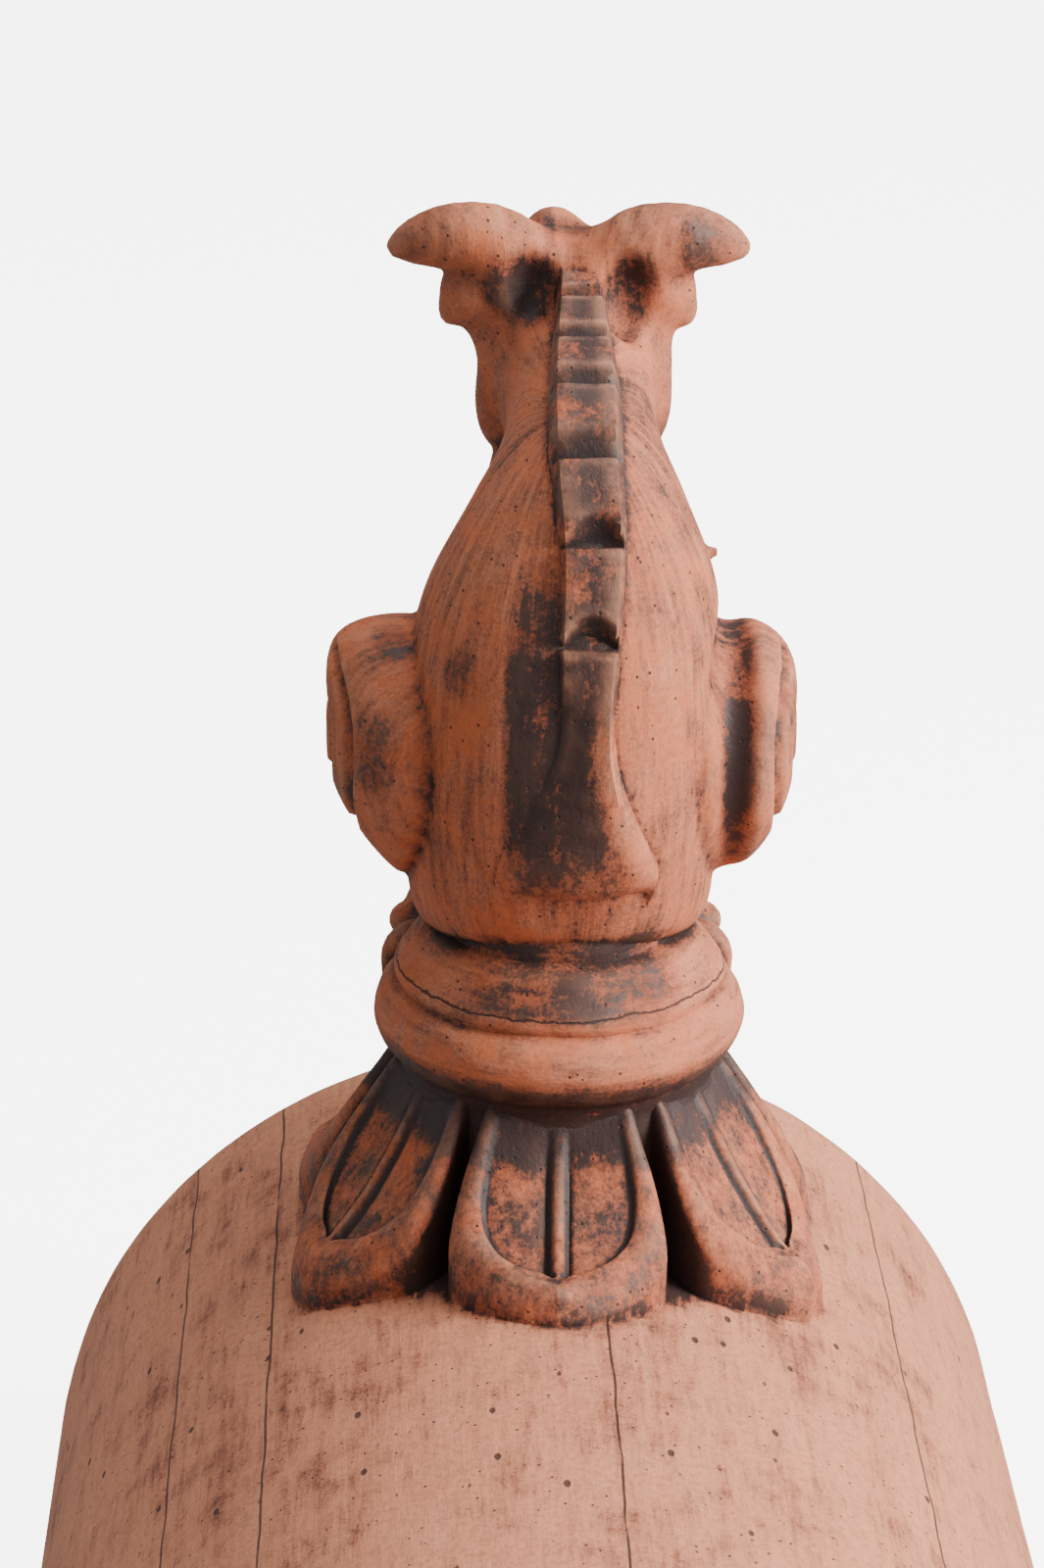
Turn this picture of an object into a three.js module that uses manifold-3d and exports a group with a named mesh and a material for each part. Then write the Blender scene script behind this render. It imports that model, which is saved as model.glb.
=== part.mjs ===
// Ridge beast tile: a half-round terracotta ridge tile with a guardian beast on a lotus pedestal.
// Millimetres, +Z up. The tile runs along Y and stands on its two long edges; the beast faces +Y.
// All of it was joined in the clay and fired as one, so it is one solid.

import * as THREE from 'three';
import { mergeVertices } from 'three/addons/utils/BufferGeometryUtils.js';
import Module from 'manifold-3d';

const wasm = await Module();
wasm.setup();

// ---------------------------------------------------------------- driving dimensions

const TILE = { length: 330, radius: 150, wall: 17, sides: 36 };

// The pedestal's axis, measured from the middle of the tile's crown.
// Everything above the tile is modelled from this point: X and Y from the axis, heights from the crown.
const PEDESTAL = { x: 4, y: 67 };

const PETAL = {
  rimRise: 0.6,
  edgeFall: 1.2,
  panelDepth: 1.8,
  grooveDepth: 3.2,
  ribHalfWidth: 1.4,
  sink: 14,
  settle: 0.7,
};

// The six petals, modelled by hand and so a little unequal: azimuth in degrees, and width against the others.
const PETALS = [
  { azimuth: 1.5, width: 1.04 },
  { azimuth: 62, width: 0.97 },
  { azimuth: 121, width: 1 },
  { azimuth: 180, width: 1 },
  { azimuth: 240, width: 1 },
  { azimuth: 300, width: 1 },
];

const RING = { radius: 52.4, height: 57.5, tube: 12, sides: 30, arcStep: 30 };
const COLLAR = { foot: 46.5, footHeight: 71.5, lip: 37.5, lipHeight: 83, waist: 33.5, topHeight: 100 };

const CREST = { topShare: 0.7, notch: 4.8, rampShare: 0.26, ledge: 0.04, sunk: 6, firstNotch: 1, lastNotch: 7 };

const SCROLL = {
  x: 44,
  y: 7,
  height: 134,
  reach: 20.5,
  depth: 33,
  rise: 37,
  turns: 1.6,
  outerSpread: 0.74,
  innerSpread: 0.16,
  ridge: 2.6,
};

const TOE_AZIMUTHS = [20, 36, 52];

// The beast's head sits a little to the right of the pedestal's axis.
const HEAD_SHIFT = 2.2;

const MOUTH = { height: 211, depthY: 72, width: 60, cornerGap: 1.5, frontGap: 14 };

const TERRACOTTA = new THREE.MeshStandardMaterial({ color: 0xb5694a, roughness: 0.88, metalness: 0 });

// ---------------------------------------------------------------- small helpers

const radians = THREE.MathUtils.degToRad;
const smooth = THREE.MathUtils.smoothstep;
const vector = (x, y, z) => new THREE.Vector3(x, y, z);
const curveThrough = (points) => new THREE.CatmullRomCurve3(points.map((point) => vector(...point)));
const mirrored = (side, [x, y, z]) => [side * x, y, z];

// Angles of a full turn in equal steps.
const turns = (sides) => Array.from({ length: sides }, (_, i) => (i / sides) * 2 * Math.PI);

// A closed skin through a list of rings that all have the same number of points.
function loft(rings) {
  const sides = rings[0].length;
  const points = rings.flat();
  const faces = [];
  for (let ring = 0; ring + 1 < rings.length; ring += 1) {
    for (let side = 0; side < sides; side += 1) {
      const a = ring * sides + side;
      const b = ring * sides + ((side + 1) % sides);
      faces.push(a, b, b + sides, a, b + sides, a + sides);
    }
  }
  for (const ring of [0, rings.length - 1]) {
    const middle = points.length;
    const sum = rings[ring].reduce((total, point) => total.add(point), vector(0, 0, 0));
    points.push(sum.divideScalar(sides));
    for (let side = 0; side < sides; side += 1) {
      const a = ring * sides + side;
      const b = ring * sides + ((side + 1) % sides);
      faces.push(...(ring === 0 ? [b, a, middle] : [a, b, middle]));
    }
  }
  return new THREE.BufferGeometry().setFromPoints(points).setIndex(faces);
}

// A copy of a geometry with each vertex moved by a function of its place.
function warp(geometry, place) {
  const moved = geometry.clone();
  const position = moved.attributes.position;
  for (let i = 0; i < position.count; i += 1) {
    const point = place(vector(position.getX(i), position.getY(i), position.getZ(i)));
    position.setXYZ(i, point.x, point.y, point.z);
  }
  return moved;
}

// The same skin with its faces turned inside out.
function flipped(geometry) {
  const turned = geometry.clone();
  const index = turned.index.array;
  for (let i = 0; i < index.length; i += 3) {
    [index[i], index[i + 1]] = [index[i + 1], index[i]];
  }
  return turned;
}

// A closed geometry as a solid that can be joined and cut; its faces are turned out where they need to be.
function solid(geometry) {
  geometry.deleteAttribute('normal');
  geometry.deleteAttribute('uv');
  const merged = mergeVertices(geometry, 1e-4);
  const mesh = new wasm.Mesh({
    numProp: 3,
    vertProperties: new Float32Array(merged.attributes.position.array),
    triVerts: new Uint32Array(merged.index.array),
  });
  const made = new wasm.Manifold(mesh);
  return made.volume() < 0 ? solid(flipped(merged)) : made;
}

const joined = (geometries) => geometries.map(solid).reduce((sum, part) => sum.add(part));

function toGeometry(manifold) {
  const { numProp, vertProperties, triVerts } = manifold.getMesh();
  const positions = vertProperties.filter((_, i) => i % numProp < 3);
  const geometry = new THREE.BufferGeometry();
  geometry.setAttribute('position', new THREE.BufferAttribute(positions, 3));
  geometry.setIndex(new THREE.BufferAttribute(triVerts, 1));
  return geometry;
}

// A point of a rounded outline: an ellipse at power 2, squarer above it.
function roundness(angle, power) {
  const round = (value) => Math.sign(value) * Math.abs(value) ** (2 / power);
  return [round(Math.cos(angle)), round(Math.sin(angle))];
}

// A skin over sections threaded on a spine in the beast's middle plane.
// Each station has a centre [x, y, z], a lean from upright in degrees, and half sizes [across, deep].
function spineLoft(stations, { steps, sides, power }) {
  const centres = curveThrough(stations.map(({ at }) => at));
  const sizes = curveThrough(stations.map(({ lean, half }) => [...half, lean]));
  const rings = [];
  for (let step = 0; step <= steps; step += 1) {
    const { x: halfAcross, y: halfDeep, z: lean } = sizes.getPoint(step / steps);
    const back = vector(0, -Math.cos(radians(lean)), Math.sin(radians(lean)));
    rings.push(turns(sides).map((angle) => {
      const [across, deep] = roundness(angle, power);
      const point = centres.getPoint(step / steps).addScaledVector(back, deep * halfDeep);
      return point.setX(point.x + across * halfAcross);
    }));
  }
  return loft(rings);
}

// A round limb along a curve; radiusAt gives its radius for 0 at the start to 1 at the end.
function limb(points, radiusAt, { steps, sides }) {
  const curve = curveThrough(points);
  const { normals, binormals } = curve.computeFrenetFrames(steps, false);
  const rings = [];
  for (let step = 0; step <= steps; step += 1) {
    const t = step / steps;
    rings.push(turns(sides).map((angle) => curve.getPointAt(t)
      .addScaledVector(normals[step], Math.cos(angle) * radiusAt(t))
      .addScaledVector(binormals[step], Math.sin(angle) * radiusAt(t))));
  }
  return loft(rings);
}

// A rounded lump: a sphere stretched to half sizes [x, y, z] at a centre.
function lump(centre, half, sides = 9) {
  const ball = new THREE.SphereGeometry(1, sides, sides - 3);
  return warp(ball, (point) => point.multiply(vector(...half)).add(vector(...centre)));
}

// A solid of revolution about the pedestal's axis, from a profile of [radius, height] points.
function turned(profile) {
  const lathe = new THREE.LatheGeometry(profile.map(([r, z]) => new THREE.Vector2(r, z)), RING.sides);
  return lathe.rotateX(Math.PI / 2);
}

// ---------------------------------------------------------------- the half-round tile

// How far the tile's surface lies below its crown at a distance x from the pedestal's axis.
function tileDrop(x) {
  const fromAxis = x + PEDESTAL.x;
  return TILE.radius - Math.sqrt(TILE.radius ** 2 - fromAxis ** 2);
}

function tile() {
  const arch = new THREE.Shape();
  arch.absarc(0, 0, TILE.radius, 0, Math.PI, false);
  arch.absarc(0, 0, TILE.radius - TILE.wall, Math.PI, 0, true);
  arch.closePath();
  const extrusion = { depth: TILE.length, bevelEnabled: false, curveSegments: TILE.sides };
  const body = new THREE.ExtrudeGeometry(arch, extrusion);
  body.rotateX(Math.PI / 2);
  body.translate(-PEDESTAL.x, TILE.length / 2 - PEDESTAL.y, -TILE.radius);
  return body;
}

// ---------------------------------------------------------------- the lotus pedestal

// Stations along a petal: distance from the pedestal's axis, height of the rim,
// and half widths of the petal and of its sunk panel. It is steep under the ring and flares out at the tip.
const PETAL_STATIONS = [
  { along: 30, rim: 58, halfWidth: 17, panel: 12 },
  { along: 42, rim: 44, halfWidth: 21, panel: 16.5 },
  { along: 49, rim: 32.5, halfWidth: 24.5, panel: 19.8 },
  { along: 56, rim: 22, halfWidth: 27.5, panel: 20.3 },
  { along: 62, rim: 15.5, halfWidth: 28, panel: 17.5 },
  { along: 67, rim: 11.8, halfWidth: 25.5, panel: 12.5 },
  { along: 71, rim: 9.6, halfWidth: 20.5, panel: 7 },
  { along: 74, rim: 8.4, halfWidth: 15.5, panel: 1.5 },
  { along: 77, rim: 7.6, halfWidth: 9.5, panel: 1 },
  { along: 80, rim: 7, halfWidth: 1.5, panel: 0.8 },
];

// Across half a petal, from the middle of the rib to the edge: place and depth below the rim.
function petalSection({ halfWidth, panel }) {
  const carved = smooth(panel, 1.5, 5);
  const rib = PETAL.ribHalfWidth * Math.min(panel / 8, 1);
  const groove = carved * PETAL.grooveDepth;
  const floor = carved * PETAL.panelDepth;
  return [
    [0, 0],
    [rib, 0],
    [rib * 1.9, groove],
    [rib * 3.2, floor],
    [panel * 0.84, floor],
    [panel * 0.95, groove],
    [panel + 0.14 * (halfWidth - panel), 0],
    [(panel + halfWidth) / 2, -PETAL.rimRise],
    [halfWidth, PETAL.edgeFall],
  ];
}

// One petal: a slab whose top is carved, and whose underside is sunk in the tile's wall.
function petal({ azimuth, width }) {
  const sections = PETAL_STATIONS.map(petalSection);
  const steps = sections.length - 1;
  const half = sections[0].length - 1;
  const slab = new THREE.BoxGeometry(steps, 2 * half, 2, steps, 2 * half, 1);
  const turn = radians(azimuth);
  return warp(slab, ({ x, y, z }) => {
    const station = Math.round(x + steps / 2);
    const { along, rim } = PETAL_STATIONS[station];
    const [offset, sunk] = sections[station][Math.round(Math.abs(y))];
    const across = Math.sign(y) * offset * width;
    const placeX = -along * Math.sin(turn) + across * Math.cos(turn);
    const placeY = -along * Math.cos(turn) - across * Math.sin(turn);
    const drop = tileDrop(placeX);
    const settled = PETAL.settle * smooth(along, 46, 80) * drop;
    return vector(placeX, placeY, z > 0 ? rim - sunk - settled : -drop - PETAL.sink);
  });
}

// The stem inside the petals, seen only in the valleys between them.
function stem() {
  return turned([[0, -12], [36, -12], [46, 0], [45, 12], [41, 30], [38.5, 42], [38, 60], [0, 60]]);
}

// The ring, the sloping collar above it and the waist under the body, turned as one profile.
function ringAndCollar() {
  const middle = RING.radius - RING.tube;
  const profile = [[0, RING.height - RING.tube]];
  for (let angle = -90; angle <= 60; angle += RING.arcStep) {
    const turn = radians(angle);
    profile.push([middle + RING.tube * Math.cos(turn), RING.height + RING.tube * Math.sin(turn)]);
  }
  profile.push(
    [COLLAR.foot + 0.4, COLLAR.footHeight - 1],
    [COLLAR.foot - 0.4, COLLAR.footHeight + 1],
    [COLLAR.lip + 3.2, COLLAR.lipHeight - 3.4],
    [COLLAR.lip, COLLAR.lipHeight],
    [COLLAR.waist, COLLAR.lipHeight + 1.5],
    [COLLAR.waist, COLLAR.topHeight],
    [0, COLLAR.topHeight],
  );
  return turned(profile);
}

// ---------------------------------------------------------------- the beast's body, neck and head

// From the rounded base on the collar, up the back, over the arched neck and out to the snout.
const SPINE = [
  { at: [0, 4, 79], lean: 11, half: [25, 24] },
  { at: [0, 3.5, 81], lean: 11, half: [35.5, 34.5] },
  { at: [0, 4, 86], lean: 10, half: [40.5, 39.5] },
  { at: [0, 3.5, 96], lean: 8, half: [42.8, 42.5] },
  { at: [0, 2, 118], lean: 4, half: [43, 45] },
  { at: [0, 2, 142], lean: 1, half: [42.8, 45.5] },
  { at: [0.3, 3.5, 164], lean: 6, half: [42.4, 44.5] },
  { at: [1.7, 8, 183], lean: 18, half: [38.7, 41.5] },
  { at: [3.4, 17.5, 200.5], lean: 36, half: [28.8, 37] },
  { at: [4.2, 25.7, 209], lean: 50, half: [22.6, 32.5] },
  { at: [4.5, 37, 215.5], lean: 60, half: [20.3, 29.5] },
  { at: [4, 50, 221], lean: 68, half: [22.5, 28.5] },
  { at: [3.5, 62, 226], lean: 78, half: [28.5, 31.5] },
  { at: [3, 75, 229], lean: 86, half: [26, 32.5] },
  { at: [2.8, 85, 224.5], lean: 91, half: [18.5, 25] },
  { at: [2.8, 91.5, 222.5], lean: 94, half: [15.5, 19] },
  { at: [2.8, 95, 221.5], lean: 96, half: [9, 11] },
];

function body() {
  return spineLoft(SPINE, { steps: 22, sides: 24, power: 2.15 });
}

// ---------------------------------------------------------------- the crest

// The strap's stations down the back from the head, each at a notch: a place on the back's surface,
// the strap's half width there, and how far it stands out.
const CREST_STATIONS = [
  { at: [3, 56, 257], halfWidth: 4, height: 1.5 },
  { at: [4, 51, 255], halfWidth: 4.6, height: 4.6 },
  { at: [5, 38, 249.5], halfWidth: 5.4, height: 5 },
  { at: [5, 21.5, 242.5], halfWidth: 6.8, height: 5.3 },
  { at: [5, 4, 235], halfWidth: 7.6, height: 5.5 },
  { at: [5, -14, 221.5], halfWidth: 7.6, height: 5.5 },
  { at: [6.5, -27.5, 201.5], halfWidth: 7, height: 5.2 },
  { at: [5, -37.5, 177], halfWidth: 6.6, height: 5 },
  { at: [8, -41.8, 152], halfWidth: 9, height: 3.6 },
  { at: [9, -43.2, 128], halfWidth: 14, height: 2.2 },
  { at: [9, -42, 108], halfWidth: 17, height: 0.4 },
];

// The strap's section, wider at its foot than on top.
function crestSection(halfWidth, height) {
  const top = halfWidth * CREST.topShare;
  return [
    [-halfWidth, -CREST.sunk],
    [-halfWidth, 0],
    [-top, height],
    [top, height],
    [halfWidth, 0],
    [halfWidth, -CREST.sunk],
  ];
}

// Where the sections stand along the strap, counted in stations, and how deep each is cut.
// A notch is a slope cut inwards that ends on a ledge, where the next length starts at full height.
function crestCuts() {
  const cuts = [];
  for (let station = 0; station + 1 < CREST_STATIONS.length; station += 1) {
    const afterLedge = station >= CREST.firstNotch && station <= CREST.lastNotch;
    const beforeNotch = station + 1 >= CREST.firstNotch && station + 1 <= CREST.lastNotch;
    cuts.push([station + (afterLedge ? CREST.ledge / 2 : 0), 0]);
    if (beforeNotch) {
      cuts.push([station + 1 - CREST.rampShare, 0]);
      cuts.push([station + 1 - CREST.ledge / 2, CREST.notch]);
    }
  }
  cuts.push([CREST_STATIONS.length - 1, 0]);
  return cuts;
}

function crest() {
  const line = curveThrough(CREST_STATIONS.map(({ at }) => at));
  const sizes = curveThrough(CREST_STATIONS.map(({ halfWidth, height }) => [halfWidth, height, 0]));
  return loft(crestCuts().map(([station, cut]) => {
    const t = station / (CREST_STATIONS.length - 1);
    const along = line.getTangent(t);
    const out = along.clone().cross(vector(1, 0, 0)).normalize();
    const across = out.clone().cross(along);
    const { x: halfWidth, y: height } = sizes.getPoint(t);
    return crestSection(halfWidth, height - cut).map(([offset, lift]) => line.getPoint(t)
      .addScaledVector(across, offset)
      .addScaledVector(out, lift));
  }));
}

// ---------------------------------------------------------------- shoulder scrolls, legs and paws

// A point of the unit ball carried onto a scroll, which is round below and squarer above.
function scrollPlace(side, { x, y, z }) {
  const squarer = z > 0 ? 1 + 0.9 * z ** 3 * Math.sqrt(1 - Math.min(z * z, 1)) : 1;
  return vector(
    side * (SCROLL.x + SCROLL.reach * x * squarer),
    SCROLL.y + SCROLL.depth * y * squarer,
    SCROLL.height + SCROLL.rise * z,
  );
}

function scrollDisc(side) {
  return warp(new THREE.SphereGeometry(1, 14, 12), (point) => scrollPlace(side, point));
}

// The raised spiral on a scroll's outer face.
function scrollSpiral(side) {
  const steps = 9;
  const points = [];
  for (let step = 0; step <= steps; step += 1) {
    const t = step / steps;
    const angle = (t * SCROLL.turns + 0.25) * 2 * Math.PI;
    const spread = THREE.MathUtils.lerp(SCROLL.outerSpread, SCROLL.innerSpread, t);
    const outward = Math.sqrt(1 - spread ** 2);
    const place = scrollPlace(side, vector(outward, spread * Math.cos(angle), spread * Math.sin(angle)));
    points.push(place.toArray());
  }
  return limb(points, () => SCROLL.ridge, { steps: 15, sides: 4 });
}

function foreleg(side) {
  const points = [[34, 24, 130], [31, 33, 106], [32, 37, 88], [38, 34, 74]];
  return limb(points.map((point) => mirrored(side, point)), (t) => 13 - 5 * t, { steps: 5, sides: 9 });
}

// Three toes hooked over the ring.
function paw(side) {
  return TOE_AZIMUTHS.map((azimuth) => {
    const turn = radians(azimuth);
    const out = (reach, z) => mirrored(side, [reach * Math.cos(turn), reach * Math.sin(turn), z]);
    const points = [out(38, 75), out(46, 73), out(50, 67), out(50.5, 57)];
    return limb(points, (t) => 5.8 - 2.2 * t, { steps: 4, sides: 6 });
  });
}

// ---------------------------------------------------------------- horns and face

// A thick horn that rises from the head, curls outward and droops to a blunt tip.
function horn(side) {
  const points = [[12, 56, 256], [22, 55, 264], [33, 55, 266.5], [43, 57, 264], [50, 59, 259]];
  const shifted = points.map(([x, y, z]) => [side * x + HEAD_SHIFT, y, z]);
  const radiusAt = (t) => (13.5 - 7 * t) * Math.sqrt(Math.max(1 - t ** 6, 0.03));
  return limb(shifted, radiusAt, { steps: 7, sides: 10 });
}

// The ear, jaw, brow, eye and nostril of one side.
function halfFace(side) {
  const at = (x, y, z) => [side * x + HEAD_SHIFT, y, z];
  return [
    lump(at(27, 60, 249), [9.5, 10, 9.5]),
    lump(at(21.5, 66, 214), [7.5, 10, 12]),
    lump(at(16, 78, 246), [9, 9, 8]),
    lump(at(15, 85, 238), [6, 6, 6], 7),
    lump(at(7, 90, 233), [6, 5, 5], 7),
  ];
}

// The back of the skull, the brow bar between the horns and the boss on the forehead.
function skull() {
  return [
    lump([2.6, 63, 244], [31, 17, 21]),
    lump([2.2, 72, 251], [25, 12, 13]),
    lump([-1, 75, 261], [9, 8, 8], 7),
  ];
}

// The open mouth: a wedge that widens towards the front, cut in under the snout.
function mouth() {
  const wedge = new THREE.BoxGeometry(MOUTH.width, 2, 1);
  return warp(wedge, ({ x, y, z }) => {
    const gap = y > 0 ? MOUTH.frontGap : MOUTH.cornerGap;
    return vector(x, y > 0 ? MOUTH.depthY + 40 : MOUTH.depthY, MOUTH.height + z * gap);
  });
}

// ---------------------------------------------------------------- the whole

function ridgeBeast() {
  const parts = [tile(), stem(), ...PETALS.map(petal), ringAndCollar(), body(), crest(), ...skull()];
  for (const side of [-1, 1]) {
    parts.push(scrollDisc(side), scrollSpiral(side), foreleg(side), ...paw(side));
    parts.push(horn(side), ...halfFace(side));
  }
  return joined(parts).subtract(solid(mouth()));
}

const ornament = new THREE.Mesh(toGeometry(ridgeBeast()), TERRACOTTA);
ornament.name = 'ridge_beast_tile';
ornament.position.set(PEDESTAL.x, PEDESTAL.y, TILE.radius);

const part = new THREE.Group();
part.add(ornament);

export default part;
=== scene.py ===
"""A terracotta ridge tile with a horned guardian beast on a lotus pedestal, weathered and sooted.

Shapes are given in millimetres from the tile's crown under the pedestal's axis: x across the ridge,
y along it towards the beast's face, z up. They become metres in the part's frame when the clay is joined.
"""

import math

import bmesh
import bpy
import numpy as np
import openvdb
from mathutils import Matrix, Vector, kdtree, noise
from mathutils.bvhtree import BVHTree


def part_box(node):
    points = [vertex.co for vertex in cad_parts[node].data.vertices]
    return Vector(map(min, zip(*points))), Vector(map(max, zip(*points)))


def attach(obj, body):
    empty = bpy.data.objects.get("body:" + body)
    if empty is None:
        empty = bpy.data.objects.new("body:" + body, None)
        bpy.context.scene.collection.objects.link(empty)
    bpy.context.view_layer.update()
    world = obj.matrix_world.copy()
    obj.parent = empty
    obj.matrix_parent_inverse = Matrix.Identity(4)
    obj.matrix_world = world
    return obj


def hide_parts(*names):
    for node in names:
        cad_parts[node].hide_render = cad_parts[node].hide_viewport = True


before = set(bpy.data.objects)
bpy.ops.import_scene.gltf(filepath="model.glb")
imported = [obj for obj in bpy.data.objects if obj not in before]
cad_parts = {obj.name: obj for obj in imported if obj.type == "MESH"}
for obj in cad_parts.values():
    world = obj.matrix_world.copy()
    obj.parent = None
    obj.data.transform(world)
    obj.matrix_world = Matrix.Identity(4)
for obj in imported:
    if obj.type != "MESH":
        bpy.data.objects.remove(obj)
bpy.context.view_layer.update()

NODE = "ridge_beast_tile"
MM = 0.001

# ---------------------------------------------------------------- sizes taken from the CAD part

low_corner, high_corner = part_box(NODE)
RADIUS = high_corner.x / MM
HALF_LENGTH = high_corner.y / MM
WALL = 17.0

# The pedestal's axis on the tile's crown, and the crown's height, in the part's frame.
AXIS = np.array([4.0, 67.0, RADIUS])

# ---------------------------------------------------------------- small helpers


def smoothstep(low, high, value):
    t = np.clip((value - low) / (high - low), 0.0, 1.0)
    return t * t * (3.0 - 2.0 * t)


def spline(stations, count):
    """Rows on a smooth curve through the stations, evenly spread in station number."""
    rows = np.asarray(stations, float)
    chords = np.linalg.norm(np.diff(rows, axis=0), axis=1)
    knots = np.concatenate([[0.0], np.cumsum(np.sqrt(chords))])
    slopes = np.gradient(rows, knots, axis=0)
    place = np.linspace(0, len(rows) - 1, count)
    start = np.minimum(place.astype(int), len(rows) - 2)
    t = (place - start)[:, None]
    span = (knots[start + 1] - knots[start])[:, None]
    return (
        (2 * t**3 - 3 * t**2 + 1) * rows[start]
        + (t**3 - 2 * t**2 + t) * span * slopes[start]
        + (3 * t**2 - 2 * t**3) * rows[start + 1]
        + (t**3 - t**2) * span * slopes[start + 1]
    )


def wander(points, scale, seed=0.0):
    """Smooth noise from about -1 to 1 at each point; scale is the size of its features."""
    shift = Vector((seed, -seed, seed * 0.5))
    return np.array([noise.noise(Vector(point) / scale + shift) for point in points])


def mirrored(side, points):
    return [(side * x, y, z) for x, y, z in points]


def loft(rings):
    """A closed skin through rings of points shaped (rings, points, 3): (points, faces)."""
    count, sides = rings.shape[:2]
    index = np.arange(count * sides).reshape(count, sides)
    right = np.roll(index, -1, axis=1)
    quads = np.stack([index[:-1], right[:-1], right[1:], index[1:]], axis=-1).reshape(-1, 4)
    first, last = count * sides, count * sides + 1
    faces = quads.tolist()
    faces += [(b, a, first) for a, b in zip(index[0], right[0])]
    faces += [(a, b, last) for a, b in zip(index[-1], right[-1])]
    points = np.vstack([rings.reshape(-1, 3), rings[0].mean(0), rings[-1].mean(0)])
    return points, faces


def outline(angles, power):
    """Points of a rounded outline: an ellipse at power 2, squarer above it."""
    across, up = np.cos(angles), np.sin(angles)
    return tuple(np.sign(value) * np.abs(value) ** (2 / power) for value in (across, up))


# ---------------------------------------------------------------- clay: a field of distances


class Clay:
    """A block of space in which forms are added and cut with soft joints, then given a skin."""

    REACH = 10.0

    def __init__(self, low, high, step):
        self.low = np.array(low, float)
        self.step = step
        self.shape = tuple(int(n) for n in np.ceil((np.array(high) - self.low) / step))
        self.field = np.full(self.shape, self.REACH, np.float32)

    def window(self, low, high):
        """The slices of the block around a box, and the places of their cells."""
        start = np.floor((np.array(low) - self.REACH - self.low) / self.step).astype(int)
        stop = np.ceil((np.array(high) + self.REACH - self.low) / self.step).astype(int)
        start, stop = np.maximum(start, 0), np.minimum(stop, self.shape)
        slices = tuple(slice(a, b) for a, b in zip(start, stop))
        axes = [self.low[i] + self.step * np.arange(start[i], stop[i]) for i in range(3)]
        return slices, np.stack(np.meshgrid(*axes, indexing="ij"), axis=-1)

    def add(self, form, blend=2.0):
        low, high, distance = form
        slices, cells = self.window(low, high)
        self.field[slices] = soft_minimum(self.field[slices], distance(cells), blend)

    def cut(self, form, blend=1.0):
        low, high, distance = form
        slices, cells = self.window(low, high)
        self.field[slices] = -soft_minimum(-self.field[slices], distance(cells), blend)

    def add_skin(self, points, faces, blend=2.0):
        """Adds a closed mesh."""
        quads = np.array([face for face in faces if len(face) == 4], np.uint32).reshape(-1, 4)
        triangles = np.array([face for face in faces if len(face) == 3], np.uint32).reshape(-1, 3)
        cells = ((points - self.low) / self.step).astype(np.float32)
        band = self.REACH / self.step
        grid = openvdb.FloatGrid.createLevelSetFromPolygons(
            cells, triangles=triangles, quads=quads, halfWidth=band
        )
        distances = np.full(self.shape, band, np.float32)
        grid.copyToArray(distances)
        self.field = soft_minimum(self.field, distances * self.step, blend)

    def skin(self):
        """The surface of the clay as (points, faces)."""
        grid = openvdb.FloatGrid()
        grid.copyFromArray(self.field)
        points, triangles, quads = grid.convertToPolygons(0.0, 0.0)
        return points * self.step + self.low, triangles.tolist() + quads.tolist()


def soft_minimum(a, b, blend):
    if blend <= 0:
        return np.minimum(a, b)
    share = np.clip(0.5 + 0.5 * (b - a) / blend, 0.0, 1.0)
    return (b * (1 - share) + a * share - blend * share * (1 - share)).astype(np.float32)


def ball(centre, half):
    """An ellipsoid as a form: its box and its distance function."""
    centre, half = np.array(centre, float), np.array(half, float)

    def distance(cells):
        offset = cells - centre
        near = np.linalg.norm(offset / half, axis=-1)
        steep = np.linalg.norm(offset / half**2, axis=-1)
        return near * (near - 1) / np.maximum(steep, 1e-6)

    return centre - half, centre + half, distance


def tube(points, radii, count=12):
    """A round strand through points, with a radius at each, as a form."""
    stations = spline(np.column_stack([points, np.broadcast_to(radii, len(points))]), count)
    path, widths = stations[:, :3], stations[:, 3]

    def distance(cells):
        nearest = np.full(cells.shape[:3], np.inf)
        for a, b, wide, end in zip(path, path[1:], widths, widths[1:]):
            step = b - a
            t = np.clip((cells - a) @ step / max(step @ step, 1e-9), 0.0, 1.0)
            gap = np.linalg.norm(cells - a - t[..., None] * step, axis=-1) - (wide + (end - wide) * t)
            nearest = np.minimum(nearest, gap)
        return nearest

    return path.min(0) - widths.max(), path.max(0) + widths.max(), distance


# ---------------------------------------------------------------- the half-round tile

TILE_COLUMNS = 150
TILE_ROWS = 92
INNER_COLUMNS = 40
EDGE_ROUND = 1.4
CROWDING = 0.55


def tile_drop(x):
    """How far the tile's surface lies below its crown."""
    across = np.clip(x + AXIS[0], -RADIUS, RADIUS)
    return RADIUS - np.sqrt(RADIUS**2 - across**2)


def crowded(low, high, middle, count):
    """Places from low to high that lie closer together near the middle."""
    even = np.linspace(-1, 1, count)
    bent = even * (1 - CROWDING) + CROWDING * even**3
    return np.where(bent < 0, middle + bent * (middle - low), middle + bent * (high - middle))


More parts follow.
